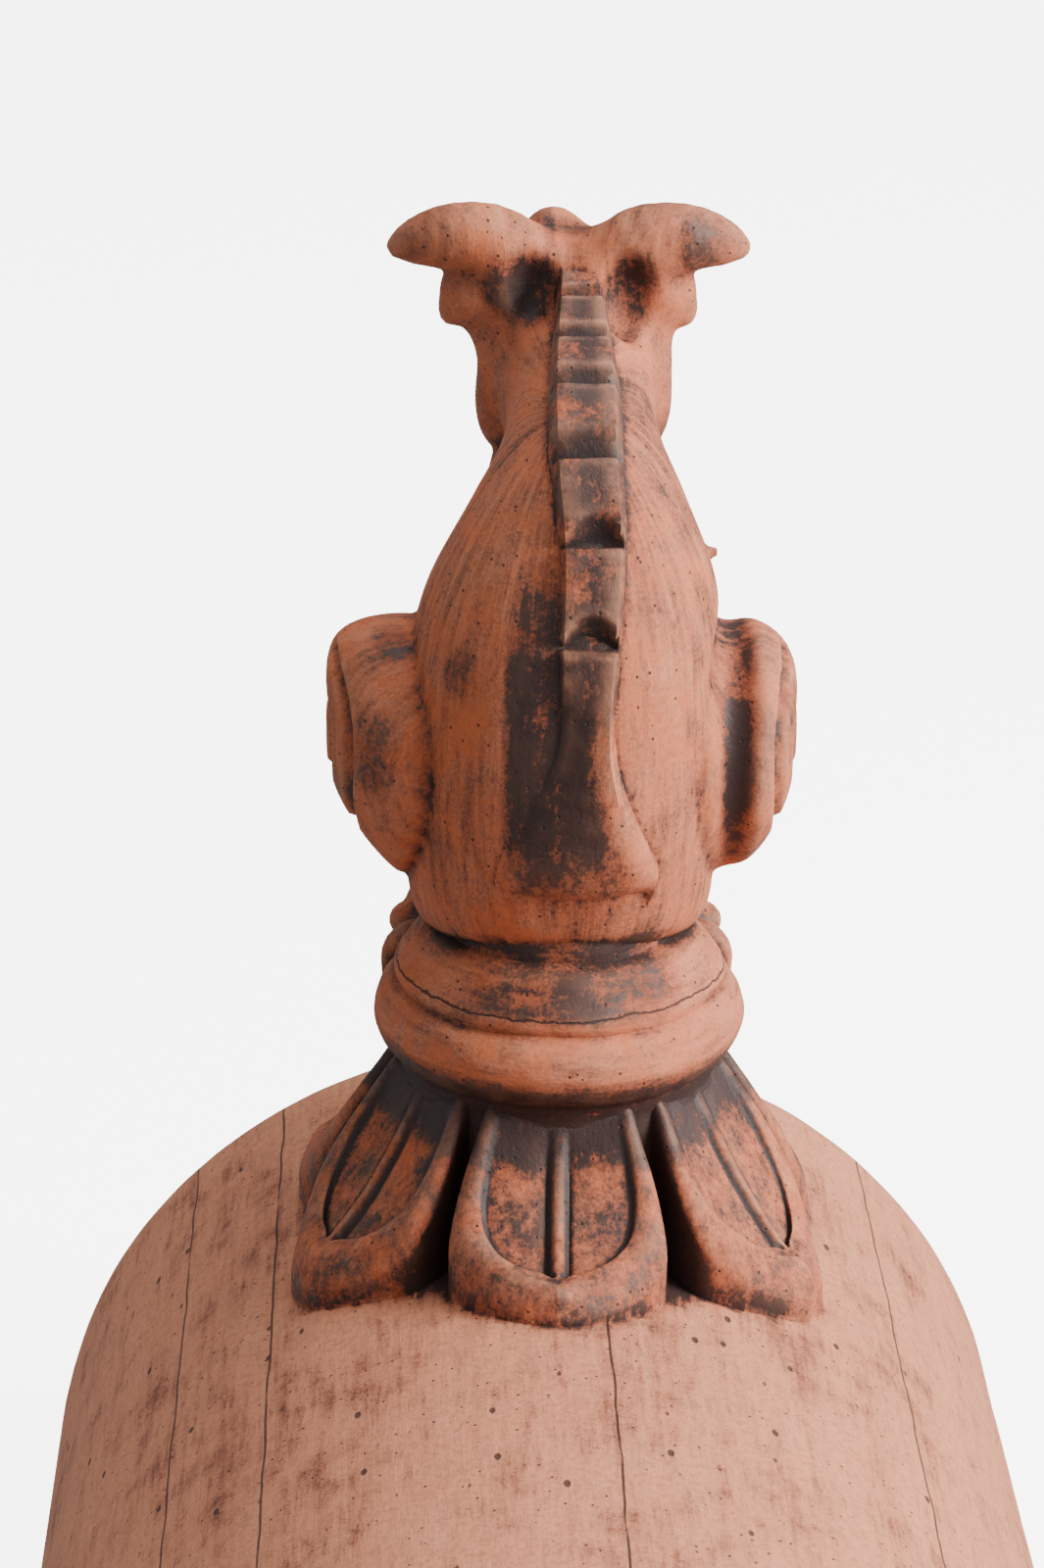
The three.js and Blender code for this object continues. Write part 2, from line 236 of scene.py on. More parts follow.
def tile():
    """The arch as a loft along the ridge; its last ring at each end is drawn in to round the rim."""
    outer = crowded(0, math.pi, math.pi / 2, TILE_COLUMNS)
    inner = np.linspace(math.pi, 0, INNER_COLUMNS)
    reach = HALF_LENGTH - EDGE_ROUND
    places = np.concatenate([[-HALF_LENGTH], crowded(-reach, reach, AXIS[1], TILE_ROWS), [HALF_LENGTH]])
    rings = []
    for place in places:
        rounding = EDGE_ROUND if abs(place) > reach + 0.1 else 0.0
        angles = np.concatenate([outer, inner])
        radii = np.where(np.arange(len(angles)) < TILE_COLUMNS, RADIUS - rounding, RADIUS - WALL + rounding)
        x = radii * np.cos(angles) - AXIS[0]
        z = radii * np.sin(angles) - RADIUS
        rings.append(np.column_stack([x, np.full_like(x, place - AXIS[1]), z]))
    rings = np.array(rings)
    count, sides = rings.shape[:2]
    index = np.arange(count * sides).reshape(count, sides)
    right = np.roll(index, -1, axis=1)
    quads = np.stack([index[:-1], right[:-1], right[1:], index[1:]], axis=-1).reshape(-1, 4)
    faces = quads.tolist() + [index[0][::-1].tolist(), index[-1].tolist()]
    return dented(rings.reshape(-1, 3)), faces


def dented(points):
    """The tile's outer skin pressed in a little here and there, never outward."""
    from_axis = (points + (AXIS[0], 0, RADIUS)) * (1, 0, 1)
    radius = np.linalg.norm(from_axis, axis=1)
    upper = smoothstep(8, 40, from_axis[:, 2]) * smoothstep(RADIUS - 4, RADIUS - 2, radius)
    depth = 0.45 * (1 + wander(points, 46, 21)) + 0.16 * (1 + wander(points * (1, 0.5, 1), 9, 22))
    return points - from_axis / radius[:, None] * (upper * depth)[:, None]


# ---------------------------------------------------------------- the lotus pedestal

# Distance from the axis, height of the rim, half width of the petal and of its sunk panel.
PETAL_STATIONS = [
    (30, 58, 17, 12),
    (42, 45, 21, 16),
    (49, 34, 25, 19),
    (56, 24, 28, 20.6),
    (62, 17.5, 28.8, 19.4),
    (67, 13.6, 26.6, 15.6),
    (71, 11.4, 23.4, 9.6),
    (73.5, 10.4, 20.8, 3),
    (77, 9.6, 16.6, 1),
    (80, 9, 12, 0.9),
    (82, 8.6, 7.8, 0.8),
    (83.4, 8.2, 2.2, 0.7),
]
PETALS = [(1.5, 1.04), (61, 0.97), (121, 1), (180, 1), (240, 1), (301, 0.98)]
PETAL_ROWS = 56
PANEL_DEPTH = 2.6
RIB = 1.5
LINE_DEPTH = 1.5
LINE_WIDTH = 0.95
RIM_DOME = 0.7
ROLL_DEPTH = 8.5
ROLL_SHARE = 0.82
FOOT_DEPTH = 12


def petal_columns(half, panel):
    """Distances from the petal's middle, close together where the carving is and near the outline."""
    rib = RIB * min(panel / 8, 1)
    inner = max(panel - 2.5, rib + 3.2)
    outer = max(panel + 0.8, inner + 0.4)
    marks = [(0, rib, 2), (rib, rib + 3, 4), (rib + 3, inner, 3), (inner, outer, 6)]
    places = [np.linspace(a, b, n, endpoint=False) for a, b, n in marks]
    places.append(outer + (half - outer) * np.sin(np.linspace(0, math.pi / 2, 10)))
    return np.minimum(np.maximum.accumulate(np.concatenate(places)), half)


def petal_carving(across, half, panel, band, turn):
    """Depth below the rim's height, and how far each place lies in a carved line.

    The band is the rim's width there; the turn makes distances from the outline true where it slants.
    """
    rib = RIB * min(panel / 8, 1)
    inside = panel - across
    floor = PANEL_DEPTH * smoothstep(0, 2.4, inside) * smoothstep(rib - 0.4, rib + 1.6, across)
    line = np.exp(-(((inside - 1) / LINE_WIDTH) ** 2)) + np.exp(-(((across - rib - 1) / LINE_WIDTH) ** 2))
    share = np.clip((half - across) * turn / band, 0, 1)
    roll = np.clip(1 - share / ROLL_SHARE, 0, 0.998)
    fall = ROLL_DEPTH * (1 - np.sqrt(1 - roll**2))
    dome = RIM_DOME * np.sin(math.pi * share)
    return floor + LINE_DEPTH * line, fall - dome, np.minimum(line, 1)


def petal(azimuth, width, seed):
    """One petal: carved on top, with walls that go down into the tile. Gives its carved lines too."""
    bearing = math.radians(azimuth)
    stations = spline(PETAL_STATIONS, PETAL_ROWS)
    slants = np.gradient(stations[:, 2], stations[:, 0])
    rings, lines = [], []
    for (along, rim, half, panel), slant in zip(stations, slants):
        columns = petal_columns(half, panel)
        band = np.interp(along, (42, 56, 66, 74, 83), (4.5, 7.5, 8.5, 10.5, 11))
        carving, fall, line = petal_carving(columns, half, panel, band, 1 / math.hypot(1, slant))
        carved = smoothstep(1.5, 5, panel) * smoothstep(41, 52, along)
        across = np.concatenate([-columns[:0:-1], columns]) * width
        depth = carved * carving + fall
        below = np.concatenate([depth[:0:-1], depth])
        x = -along * math.sin(bearing) + across * math.cos(bearing)
        y = -along * math.cos(bearing) - across * math.sin(bearing)
        drop = tile_drop(x)
        top = rim - below - 0.7 * smoothstep(46, 80, along) * drop
        upper = np.column_stack([x, y, np.maximum(top, -drop - 3)])
        rings.append(np.vstack([upper, petal_foot(upper, drop)]))
        # The carved lines go to the material, which darkens them: soot with painted shade in the grooves.
        mark = carved * np.concatenate([line[:0:-1], line])
        lines.append(np.concatenate([mark, np.zeros(len(rings[-1]) - len(mark))]))
    points, faces = loft(np.array(rings))
    points[:, 2] += 0.6 * wander(points, 14, seed) + 0.25 * wander(points, 5, seed + 9)
    return points, faces, np.concatenate([np.concatenate(lines), [0, 0]])


def petal_foot(upper, drop):
    """The rest of a petal's ring: down one wall, across underneath and up the other."""
    ends = upper[[-1, 0]]
    foot = ends.copy()
    foot[:, 2] = -drop[[-1, 0]] - FOOT_DEPTH
    shares = np.linspace(0.25, 1, 4)[:, None]
    right = ends[0] + (foot[0] - ends[0]) * shares
    left = (ends[1] + (foot[1] - ends[1]) * shares)[::-1]
    under = foot[0] + (foot[1] - foot[0]) * np.array([[0.25], [0.5], [0.75]])
    return np.vstack([right, under, left])


STEM = [(0, -12), (36, -12), (46, 0), (46, 10), (45, 20), (45.5, 30), (45.2, 37), (45, 42)]
TORUS = {"radius": 52.4, "height": 57.5, "tube": 12, "from": -58, "to": 62}
# The stem below the ring and the collar above it: distance from the axis, height.
COLLAR = [
    (46.9, 70.5),
    (46.1, 72.5),
    (43.5, 76.2),
    (40.7, 79.6),
    (37.5, 83),
    (33.5, 84.5),
    (33.5, 100),
    (0, 100),
]
TURNED_SIDES = 150


def resampled(profile, spacing):
    """A profile with no stretch longer than the spacing."""
    rows = [profile[0]]
    for start, end in zip(profile, profile[1:]):
        count = max(int(math.dist(start, end) / spacing), 1)
        rows += [tuple(np.add(start, np.subtract(end, start) * k / count)) for k in range(1, count + 1)]
    return np.array(rows)


def turned_core():
    """Stem, ring and collar turned about the axis, a little out of true as by hand."""
    middle = TORUS["radius"] - TORUS["tube"]
    arc = [
        (middle + TORUS["tube"] * math.cos(a), TORUS["height"] + TORUS["tube"] * math.sin(a))
        for a in np.radians(np.linspace(TORUS["from"], TORUS["to"], 22))
    ]
    profile = resampled(STEM + arc + COLLAR, 1.6)
    profile[:, 0] = np.maximum(profile[:, 0], 0.01)
    angles = np.linspace(0, 2 * math.pi, TURNED_SIDES, endpoint=False)
    rings = np.array([
        np.column_stack([r * np.cos(angles), r * np.sin(angles), np.full_like(angles, z)])
        for r, z in profile
    ])
    points, faces = loft(rings)
    radius = np.hypot(points[:, 0], points[:, 1])
    outward = points[:, :2] / np.maximum(radius, 1)[:, None]
    shown = smoothstep(30, 36, radius)
    points[:, :2] += outward * (shown * (0.7 * wander(points, 30, 3) + 0.3 * wander(points, 7, 4)))[:, None]
    points[:, 2] += shown * 0.7 * wander(points * (1, 1, 0.2), 24, 5)
    return points, faces


# ---------------------------------------------------------------- the beast

# Up the back, over the neck and out to the snout: centre x, y, z, lean in degrees, half across, half deep.
SPINE = [
    (0, 4, 79, 11, 25, 24),
    (0, 3.5, 81, 11, 35.5, 34.5),
    (0, 4, 86, 10, 40.5, 39.5),
    (0, 3.5, 96, 8, 42.8, 42.5),
    (0, 2, 118, 4, 43, 45),
    (0, 2, 142, 1, 42.8, 45.5),
    (0.7, 3.5, 164, 6, 42.7, 44.5),
    (2.3, 8, 183, 18, 39.2, 41.5),
    (4.1, 17.5, 200.5, 36, 29.5, 37),
    (5, 25.7, 209, 50, 23.3, 32.5),
    (5.4, 37, 215.5, 60, 20.8, 29.5),
    (5, 50, 221, 68, 22.3, 28.5),
    (4.5, 62, 226, 78, 27.5, 31.5),
    (4, 75, 229, 86, 25, 32.5),
    (2.8, 85, 224.5, 91, 18.5, 25),
    (2.8, 91.5, 222.5, 94, 15.5, 19),
    (2.8, 95, 221.5, 96, 9, 11),
]

# The crest: centre x, y, z, half width, how far it stands out. The second to the eighth lie at its notches.
CREST_STATIONS = [
    (3, 57, 257, 4, 0.5),
    (4.4, 51, 255, 4.6, 4.8),
    (5, 38, 249.5, 5.8, 5.4),
    (5, 21.5, 242.5, 7, 5.6),
    (5, 4, 235, 8, 5.8),
    (5, -14, 221.5, 8, 5.8),
    (6.3, -27.5, 201.5, 7.6, 5.4),
    (5.3, -37.5, 177, 7, 5),
    (4.4, -42, 152, 6.8, 3.6),
    (2.4, -43.4, 128, 14, 2),
    (2.8, -42.2, 110, 18, 0.6),
    (3, -34, 96, 15, -5),
]

# How far head and jaw sit to the right of the pedestal's axis.
HEAD = 2.2
JAW = 4.2

# The right scroll's centre, half sizes, squareness above and taper below, by side.
SCROLL_CENTRE = np.array([44.0, 7.0, 134.0])
SCROLL_HALF = np.array([21.4, 33.0, 36.6])
SCROLL_SQUARE = {-1: 9.0, 1: 5.4}
SCROLL_TAPER = {-1: 0.66, 1: 0.19}
VOXEL = 1.5


def body_skin():
    rings = []
    angles = np.linspace(0, 2 * math.pi, 90, endpoint=False)
    across, deep = outline(angles, 2.15)
    for x, y, z, lean, half_across, half_deep in spline(SPINE, 120):
        turn = math.radians(lean)
        rings.append(np.column_stack([
            x + across * half_across,
            y - deep * half_deep * math.cos(turn),
            z + deep * half_deep * math.sin(turn),
        ]))
    return loft(np.array(rings))


# Across the strap: place in half widths; height in its own height above the back, in millimetres below it.
CREST_SECTION = np.array([
    (-1.25, -6), (-1.25, -2), (-1.22, 0), (-1.1, 0.5), (-0.96, 0.96), (-0.7, 1.02), (-0.35, 1), (0, 1),
    (0.35, 1), (0.7, 1.02), (0.96, 0.96), (1.1, 0.5), (1.22, 0), (1.25, -2), (1.25, -6),
])
CREST_ROWS = 230
BACK_RADIUS = 44.0


def crest_skin():
    """The strap down the back with a slope cut in before each ledge. Gives its cuts too."""
    stations = spline(CREST_STATIONS, CREST_ROWS)
    numbers = np.linspace(0, len(CREST_STATIONS) - 1, CREST_ROWS)
    tangents = np.gradient(stations[:, :3], axis=0)
    across, lift = CREST_SECTION.T
    rings, cuts = [], []
    for (x, y, z, half, height), along, number in zip(stations, tangents, numbers):
        out = np.cross(along, (1, 0, 0))
        out /= np.linalg.norm(out)
        side = np.cross(out, along)
        side /= np.linalg.norm(side)
        apron = smoothstep(6.8, 8.4, number)
        cut = notch_cut(number, across)
        raised = height * (1 + 0.55 * across * apron) - cut
        bent = 0.85 * apron * (across * half) ** 2 / (2 * BACK_RADIUS)
        rise = np.where(lift > 0, lift * raised, lift) - bent
        rings.append(np.array([x, y, z]) + np.outer(across * half, side) + np.outer(rise, out))
        # The cut depth goes to the material, which darkens the notch slopes: soot with painted shade.
        cuts.append(np.where(lift > 0.4, cut / 5, 0))
    points, faces = loft(np.array(rings))
    points += 0.3 * wander(points, 6, 31)[:, None] * (0.4, 1, 0.4)
    return points, faces, np.concatenate([np.concatenate(cuts), [0, 0]])


def notch_cut(number, across):
    """Depth cut out of the strap at a place counted in stations; the lowest two are lens-shaped scoops."""
    station = math.ceil(number)
    if not 1 <= station <= 7:
        return np.zeros_like(across)
    before = station - number
    if station >= 6:
        share = 0.36 * np.sqrt(np.clip(1 - (across - 0.1) ** 2, 0.08, 1))
        return 5.6 * np.clip(1 - before / share, 0, 1) ** 0.6
    return 5.2 * np.clip(1 - before / 0.32, 0, 1) ** 0.8 * np.ones_like(across)


def scroll_place(side, unit):
    """A point of the unit ball carried onto a shoulder scroll: a thick wheel, drawn in below."""
    height = np.clip(unit[:, 2], -0.999, 0.999)
    square = SCROLL_SQUARE[side]
    above = np.sqrt((1 - np.clip(height, 0, 1) ** square) / (1 - np.clip(height, 0, 1) ** 2))
    below = 1 - SCROLL_TAPER[side] * np.clip(-height, 0, 1) ** 2
    grown = unit * np.column_stack([above * below, np.ones_like(height), np.ones_like(height)])
    return (SCROLL_CENTRE + grown * SCROLL_HALF) * (side, 1, 1)


def scroll_skin(side):
    angles = np.linspace(0, 2 * math.pi, 60, endpoint=False)
    rings = []
    for tilt in np.linspace(-0.98, 0.98, 34) * math.pi / 2:
        unit = np.column_stack([
            math.cos(tilt) * np.cos(angles),
            math.cos(tilt) * np.sin(angles),
            np.full_like(angles, math.sin(tilt)),
        ])
        rings.append(scroll_place(side, unit))
    return loft(np.array(rings))


def scroll_groove(side):
    """The spiral line on a scroll's outer face."""
    t = np.linspace(0, 1, 30)
    angle = (t * 1.6 + 0.25) * 2 * math.pi
    spread = 0.8 - 0.66 * t
    unit = np.column_stack([np.sqrt(1 - spread**2), spread * np.cos(angle), spread * np.sin(angle)])
    return tube(scroll_place(side, unit), 2.2, 60)


def scroll_valley():
    """The soft hollow between the body and the right scroll, fading out at both ends."""
    share = np.linspace(0, 1, 18)
    turns = np.radians(62 + 196 * share)
    path = np.column_stack([np.full(18, 46.5), 7 + 33 * np.cos(turns), 134 + 37 * np.sin(turns)])
    return tube(path, 0.5 + 6 * np.sin(math.pi * share) ** 0.6, 44)


def add_face(clay, side):
    """Horn, ear, jaw, eye, brow, nostril, lips and fang of one side."""

    def at(x, y, z):
        return side * x + HEAD, y, z

    def path(points):
        return [at(*point) for point in points]

    def jaw(points):
        return [(side * x + JAW, y, z) for x, y, z in points]

    horn = [(12, 56, 255.5), (22, 55, 263.8), (33, 55, 265.8), (42, 57, 264.2), (47.3, 58.5, 262.4)]
    clay.add(tube(path(horn), (13, 11.2, 9.3, 6.6, 3.6)), 8)
    clay.add(ball(at(27, 60, 249), (9, 10, 9)), 6)
    clay.add(ball(at(33, 60, 243.5), (3.2, 4, 4)), 3)
    clay.add(ball((side * 19.5 + JAW, 66, 214), (8, 10, 13)), 4)
    clay.add(ball(at(16, 78, 246), (9, 9, 8)), 4)
    clay.add(ball(at(14.5, 86, 238), (6.2, 6.2, 6.2)), 0.8)
    clay.add(tube(path([(7, 92, 240), (12, 91.5, 246), (20, 87, 247), (25, 79, 242)]), 2.2), 1)
    clay.add(tube(path([(7, 92, 238), (12, 92, 231.5), (20, 86, 231), (25, 78, 236)]), 1.8), 1)
    clay.add(tube(path([(4, 90, 249), (13, 87, 255), (23, 79, 256), (29, 70, 252)]), (4, 4.4, 3.6, 2.4)), 2)
    clay.add(ball(at(7, 90.5, 230), (5.4, 5.4, 5)), 2)
    clay.cut(ball(at(6.4, 97, 229.5), (2, 3, 1.8)), 1)
    lips = [(21, 72, 217), (18, 83, 217.5), (10, 91.5, 220), (0, 94, 222)]
    clay.add(tube(jaw(lips), (2.4, 3, 3.2, 3.2)), 2)
    lower_lips = [(18, 72, 205), (15, 83, 203.5), (8, 90, 203), (0, 91.5, 203)]
    clay.add(tube(jaw(lower_lips), (2.2, 2.8, 2.8, 2.8)), 2)
    clay.add(tube(path([(10, 90.5, 218), (10.5, 91.5, 213), (10, 92, 208.5)]), (2.6, 2, 0.9)), 0.6)
    for tooth in (2.2, 6):
        clay.add(ball(at(tooth, 92, 216.5), (1.9, 1.8, 3.6)), 0.5)
    clay.add(tube(jaw([(18, 62, 204), (21, 57, 196), (18, 53, 190)]), (4, 3, 1.2)), 2)
    clay.add(tube(path([(8, 84, 199), (8.5, 84, 192), (6, 82, 187)]), (3.6, 3, 1)), 2)
    hollow = ball((18, 43, 251), (7, 7, 11)) if side > 0 else ball((-8, 44, 254), (7, 7, 9))
    clay.cut(hollow, 6)


def add_limbs(clay, side):
    """Foreleg, paw pad and toes hooked over the ring."""
    leg = [(33, 26, 128), (29, 35, 106), (29, 38, 88), (36, 34, 74)]
    clay.add(tube(mirrored(side, leg), (12, 9, 8.5, 7.5)), 3)
    clay.add(ball((side * 39.5, 34, 69), (8.8, 9, 5.6)), 2)
    for azimuth in (22, 37, 52):
        turn = math.radians(azimuth)
        reach = [(36, 72), (44, 71.5), (49.6, 66.5), (50.6, 56.5)]
        points = [(r * math.cos(turn), r * math.sin(turn), z) for r, z in reach]
        clay.add(tube(mirrored(side, points), (5, 4.8, 4.2, 3.2)), 0.8)


def add_head(clay):
    clay.add(ball((2.6, 63, 244), (30, 17, 21)), 5)
    clay.add(ball((2.2, 72, 251), (25, 12, 13)), 5)
    clay.add(ball((-1.6, 75, 260.5), (9, 8, 9)), 4)
    clay.add(ball((21, 60, 266), (3, 3, 3)), 2)
    clay.cut(ball((JAW, 91.5, 211.5), (16, 22, 6.5)), 1.5)
    clay.add(ball((JAW, 79.5, 206.5), (8, 12, 3.4)), 1)
    for side in (-1, 1):
        add_face(clay, side)


def beast():
    clay = Clay((-74, -56, 48), (76, 102, 282), VOXEL)
    clay.add_skin(*body_skin(), blend=0)
    for side in (-1, 1):
        clay.add_skin(*scroll_skin(side), blend=1.2)
        clay.cut(scroll_groove(side), 1.2)
        add_limbs(clay, side)
    clay.cut(scroll_valley(), 5)
    add_head(clay)
    clay.add(ball((40.4, 3, 191.4), (1.8, 1.6, 1.8)), 0.5)
    for height in (118, 136, 154, 172):
        clay.cut(chest_band(height), 1.5)
    return clay.skin()


def chest_band(height):
    turns = np.linspace(-0.6, 0.6, 5)
    path = np.column_stack([44 * np.sin(turns), 1 + 46.5 * np.cos(turns), height - 4 * np.cos(3 * turns)])
    return tube(path, 1.7)


# ---------------------------------------------------------------- joining the clay


def mesh_object(name, points, faces):
    """A mesh object in the part's frame, from points in millimetres about the pedestal."""
    mesh = bpy.data.meshes.new(name)
    mesh.from_pydata(((points + AXIS) * MM).tolist(), [], faces)
    mesh.validate()
    obj = bpy.data.objects.new(name, mesh)
    bpy.context.scene.collection.objects.link(obj)
    return obj


def face_outward(obj):
    shape = bmesh.new()
    shape.from_mesh(obj.data)
    if shape.calc_volume(signed=True) < 0:
        bmesh.ops.reverse_faces(shape, faces=shape.faces)
    bmesh.ops.triangulate(shape, faces=shape.faces)
    shape.to_mesh(obj.data)
    shape.free()


def joined(name, forms):
    """One closed skin around all the forms."""
    objects = [mesh_object(f"{name}_{form}", *forms[form][:2]) for form in forms]
    for obj in objects:
        face_outward(obj)
    base = objects[0]
    for other in objects[1:]:
        union = base.modifiers.new("union", "BOOLEAN")
        union.operation = "UNION"
        union.solver = "MANIFOLD"
        union.object = other
    depsgraph = bpy.context.evaluated_depsgraph_get()
    mesh = bpy.data.meshes.new_from_object(base.evaluated_get(depsgraph))
    for obj in objects:
        bpy.data.objects.remove(obj)
    piece = bpy.data.objects.new(name, mesh)
    bpy.context.scene.collection.objects.link(piece)
    return piece


# ---------------------------------------------------------------- what the surface knows about itself

# The forms by number, in the order they are joined; the petals follow.
TILE, CORE, BODY, CREST = range(4)

# Soot that lies evenly over each form, apart from hollows and stains.
FILM = [0.03, 0.08, 0.2, 0.2] + [0.36] * len(PETALS)

CRACK_HEIGHT = 72.6
FAR_FROM_CRACK = 20
RAYS = 34
RAY_LENGTH = 45.0
LEAST_FACING = 0.12
SKIN_GAP = 0.4


def column(mesh, name, size=3):
    """A value of every vertex or normal as an array."""
    values = np.empty(len(mesh.vertices) * size, np.float32)
    source = mesh.vertex_normals if name == "normal" else mesh.vertices
    source.foreach_get("vector" if name == "normal" else name, values)
    return values.reshape(-1, size).astype(float)


def store(mesh, name, values):
    """Keeps a value, or a vector, of every vertex on the mesh for the material."""
    kind, key = ("FLOAT", "value") if values.ndim == 1 else ("FLOAT_VECTOR", "vector")
    made = mesh.attributes.new(name, kind, "POINT")
    made.data.foreach_set(key, values.astype(np.float32).ravel())


def nearest_source(points, forms):
    """For each point, the number of the form it came from and that form's carved line there."""
    sources = np.vstack([form[0] for form in forms.values()])
    numbers = np.concatenate([np.full(len(form[0]), i) for i, form in enumerate(forms.values())])
    plain = [np.zeros(len(form[0])) for form in forms.values()]
    lines = np.concatenate([form[2] if len(form) > 2 else none for form, none in zip(forms.values(), plain)])
    tree = kdtree.KDTree(len(sources))
    for i, source in enumerate(sources):
        tree.insert(source, i)
    tree.balance()
    found = np.array([tree.find(point)[1] for point in points])
    return numbers[found], lines[found]


def ray_directions():
    """Directions spread evenly over a sphere."""
    steps = np.arange(RAYS) + 0.5
    height = 1 - 2 * steps / RAYS
    turn = math.pi * (1 + math.sqrt(5)) * steps
    flat = np.sqrt(1 - height**2)
    return np.column_stack([flat * np.cos(turn), flat * np.sin(turn), height])


def shelter(mesh, points, normals):
    """How much of each vertex's view the clay itself takes, from 0 to 1."""
    triangles = [tuple(polygon.vertices) for polygon in mesh.polygons]
    tree = BVHTree.FromPolygons(points.tolist(), triangles)
    directions = ray_directions()
    facing = normals @ directions.T
    starts = points + normals * SKIN_GAP
    vectors = [Vector(direction) for direction in directions]
    taken = np.zeros(len(points))
    for i, start in enumerate(starts):
        origin = Vector(start)
        for k in np.flatnonzero(facing[i] > LEAST_FACING):
            if tree.ray_cast(origin, vectors[k], RAY_LENGTH)[0]:
                taken[i] += facing[i, k]
    return taken / np.maximum(facing, 0).sum(axis=1)


def edge_ends(mesh):
    ends = np.empty(len(mesh.edges) * 2, np.int32)
    mesh.edges.foreach_get("vertices", ends)
    return ends.reshape(-1, 2).T


def spread(values, start, end, rounds):
    """Each value averaged with its neighbours, a number of times."""
    count = len(values)
    links = np.bincount(start, minlength=count) + np.bincount(end, minlength=count)
    for _ in range(rounds):
        total = np.bincount(start, values[end], count) + np.bincount(end, values[start], count)
        values = 0.5 * values + 0.5 * total / np.maximum(links, 1)
    return values


def bulge(points, normals, start, end):
    """How strongly the surface turns outward at each vertex (inward is negative), per millimetre."""
    step = points[end] - points[start]
    turn = ((normals[end] - normals[start]) * step).sum(1) / np.maximum((step**2).sum(1), 0.05)
    count = len(points)
    links = np.bincount(start, minlength=count) + np.bincount(end, minlength=count)
    return (np.bincount(start, turn, count) + np.bincount(end, turn, count)) / np.maximum(links, 1)


def within(value, low, high, soft):
    """1 between low and high, easing to 0 over the soft distance outside."""
    return smoothstep(low - soft, low, value) * (1 - smoothstep(high, high + soft, value))


def blotch(points, centre, half):
    """1 at the middle of an ellipsoid, easing to 0 at its skin."""
    reach = np.linalg.norm((points - np.array(centre)) / np.array(half), axis=1)
    return 1 - smoothstep(0.35, 1.1, reach)


# Single stains: centre, half sizes and strength.
BLOTCHES = [
    ((-30, -34, 168), (9, 16, 12), 0.5),
    ((-52, -20, 143), (13, 24, 18), 0.5),
    ((-47, -6, 168), (9, 22, 6), 0.5),
    ((47, -14, 134), (6, 30, 44), 0.85),
    ((52, -12, 112), (14, 26, 15), 0.45),
    ((62, -4, 150), (7, 18, 12), 0.35),
    ((-12, 44, 254), (16, 16, 14), 0.8),
    ((19, 43, 252), (12, 15, 17), 0.75),
    ((-22, 48, 257), (9, 9, 6), 0.5),
    ((2, 62, 268), (16, 14, 6), 0.5),
    ((36, 50, 266), (16, 13, 11), 0.55),
    ((-40, 52, 262), (9, 8, 5), 0.25),
    ((30, -30, 108), (11, 14, 12), 0.25),
    ((21, -34, 190), (6, 14, 16), 0.3),
    ((46, 32, 66), (12, 14, 12), 0.45),
    ((-44, 36, 66), (10, 10, 8), 0.25),
]


STRIPE_SOOT = 0.8


def painted_soot(points):
    """The dark marks that follow no hollow: the stripe beside the crest, its apron and the blotches."""
    x, y, z = points.T
    back = 1 - smoothstep(-8, 8, y)
    left_edge = np.interp(z, (100, 112, 130, 178, 200, 214), (-17, -17.5, -17, -16, -11, -8))
    right_edge = np.interp(z, (100, 112, 130, 150, 178, 214), (18, 19, 8, 6, 5, 4))
    heights = (92, 104, 120, 130, 172, 186, 206, 222)
    strength = np.interp(z, heights, (0.15, 0.5, 0.75, 1, 1, 0.75, 0.6, 0.1))
    right_of_left = smoothstep(left_edge - 4, left_edge + 3, x)
    left_of_right = 1 - smoothstep(right_edge - 2, right_edge + 4, x)
    soot_and_shade = STRIPE_SOOT * back * strength * right_of_left * left_of_right
    for centre, half, amount in BLOTCHES:
        soot_and_shade = np.maximum(soot_and_shade, amount * blotch(points, centre, half))
    return soot_and_shade


def pedestal_soot_and_shade(points):
    """Soot brushed round the pedestal's waist at the back, and soot with painted shade heavy under the ring.
    """
    x, y, z = points.T
    waist = within(z, 74, 90, 5) * within(x, -18, 24, 14) * (1 - smoothstep(-12, 0, y))
    # Painted shade with soot: the stem under the ring's overhang is darkened.
    under = within(z, 34, 50, 9) * (1 - smoothstep(56, 66, np.hypot(x, y)))
    return np.maximum(0.6 * waist, 0.9 * under)


def crest_soot(points):
    """The strap's flats are dark in part, less so where it widens into the apron."""
    return (0.66 + 0.16 * wander(points, 9, 12)) * smoothstep(135, 170, points[:, 2])


def grain_lines(points, number):
    """Places stretched along the way the clay was brushed, in millimetres across the streaks."""
    x, y, z = points.T
    turn = np.arctan2(y, x)
    upward = np.column_stack([40 * np.cos(turn), 40 * np.sin(turn), 0.12 * z])
    round_about = np.column_stack([0.14 * x, 0.14 * y, z])
    along_tile = np.column_stack([RADIUS * np.arctan2(x + AXIS[0], z + RADIUS), 0.1 * y, 0 * z])
    grain = points * (1.0, 1.0, 0.4)
    grain[number == TILE] = along_tile[number == TILE]
    grain[number == CORE] = round_about[number == CORE]
    grain[number == BODY] = upward[number == BODY]
    return grain


